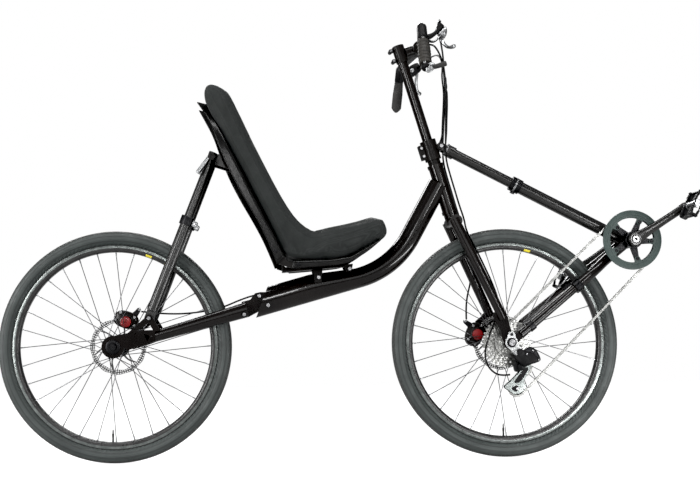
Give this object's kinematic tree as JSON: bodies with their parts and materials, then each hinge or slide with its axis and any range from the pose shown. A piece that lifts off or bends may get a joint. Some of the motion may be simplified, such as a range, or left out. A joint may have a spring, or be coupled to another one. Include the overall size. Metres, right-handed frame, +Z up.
{
  "type": "recumbent bicycle",
  "caption": "Short-wheelbase recumbent bicycle with padded bucket seat, bent main tube, steering front-wheel-drive boom, disc brakes and spoked wheels.",
  "frame": {"origin": "the rider's place on the seat cushion, where the two cushions meet, on the bicycle's centre plane", "axes": "+X forward, +Y to the bicycle's left, +Z up"},
  "size_m": [1.9511, 0.6191, 1.188],
  "materials": {
    "black_plastic": "matt black",
    "cable": "black housing",
    "gloss_black": "gloss black paint",
    "grip": "brown-black tape",
    "guard": "grey-green polycarbonate",
    "pad": "charcoal woven cover",
    "rim_black": "black anodised",
    "satin_black": "satin black paint",
    "shell": "satin moulded shell",
    "steel": "satin steel",
    "tyre": "matt rubber"
  },
  "bodies": {
    "frame": {"frame_bolts": "steel", "head_tube": "gloss_black", "main_tube": "gloss_black", "rear_axle": "steel", "rear_brake_cable": "cable", "rear_brake_caliper": "rim_black", "rear_stay_left": "gloss_black", "rear_stay_right": "gloss_black", "rear_yoke": "gloss_black", "seat_brackets": "satin_black", "seat_pad": "pad", "seat_pan": "shell", "seat_shell": "shell", "seat_strut_lower": "satin_black", "seat_strut_upper": "satin_black", "seat_top_bracket": "satin_black", "strut_collars": "steel"},
    "front_wheel": {"front_tyre": "tyre", "front_rim": "rim_black", "front_spokes": "steel", "front_hub": "rim_black", "front_rotor": "steel", "cassette": "steel"},
    "rear_wheel": {"rear_tyre": "tyre", "rear_rim": "rim_black", "rear_spokes": "steel", "rear_hub": "rim_black", "rear_rotor": "steel"},
    "crankset": {"chainring": "rim_black", "chain_guard": "guard", "cranks": "rim_black"},
    "pedal_right": {"pedal_right_body": "black_plastic"},
    "pedal_left": {"pedal_left_body": "black_plastic"},
    "front_assembly": {"fork": "gloss_black", "boom_clamp": "satin_black", "riser_post": "satin_black", "boom_inner": "satin_black", "boom_outer": "satin_black", "slide_collars": "steel", "drive_stay_tubes": "gloss_black", "drive_stay_legs": "gloss_black", "stem": "satin_black", "handlebar": "satin_black", "grips": "grip", "bar_controls": "black_plastic", "brake_blades": "steel", "front_axle": "steel", "chain": "steel", "derailleur_body": "black_plastic", "derailleur_cage": "black_plastic", "jockey_wheels": "black_plastic", "front_brake_caliper": "rim_black", "front_bolts": "steel", "shift_cable": "cable", "front_brake_cable": "cable", "lever_brake_cable": "cable"}
  },
  "joints": [
    {"name": "steering", "type": "hinge", "parent": "frame", "child": "front_assembly", "pos_m": [0.34303, 0, 0.185], "axis": [-0.2874, 0, 0.9578], "range_deg": [-35, 35]},
    {"name": "front_wheel_spin", "type": "hinge", "parent": "front_assembly", "child": "front_wheel", "pos_m": [0.53202, 0, -0.316], "axis": [0, 1, 0], "continuous": true},
    {"name": "rear_wheel_spin", "type": "hinge", "parent": "frame", "child": "rear_wheel", "pos_m": [-0.56798, 0, -0.316], "axis": [0, 1, 0], "continuous": true},
    {"name": "crank_turn", "type": "hinge", "parent": "front_assembly", "child": "crankset", "pos_m": [0.89012, 0, -0.03014], "axis": [0, 1, 0], "continuous": true},
    {"name": "pedal_right_turn", "type": "hinge", "parent": "crankset", "child": "pedal_right", "pos_m": [1.03428, -0.082, 0.05995], "axis": [0, 1, 0], "continuous": true},
    {"name": "pedal_left_turn", "type": "hinge", "parent": "crankset", "child": "pedal_left", "pos_m": [0.74595, 0.082, -0.12022], "axis": [0, 1, 0], "continuous": true}
  ]
}
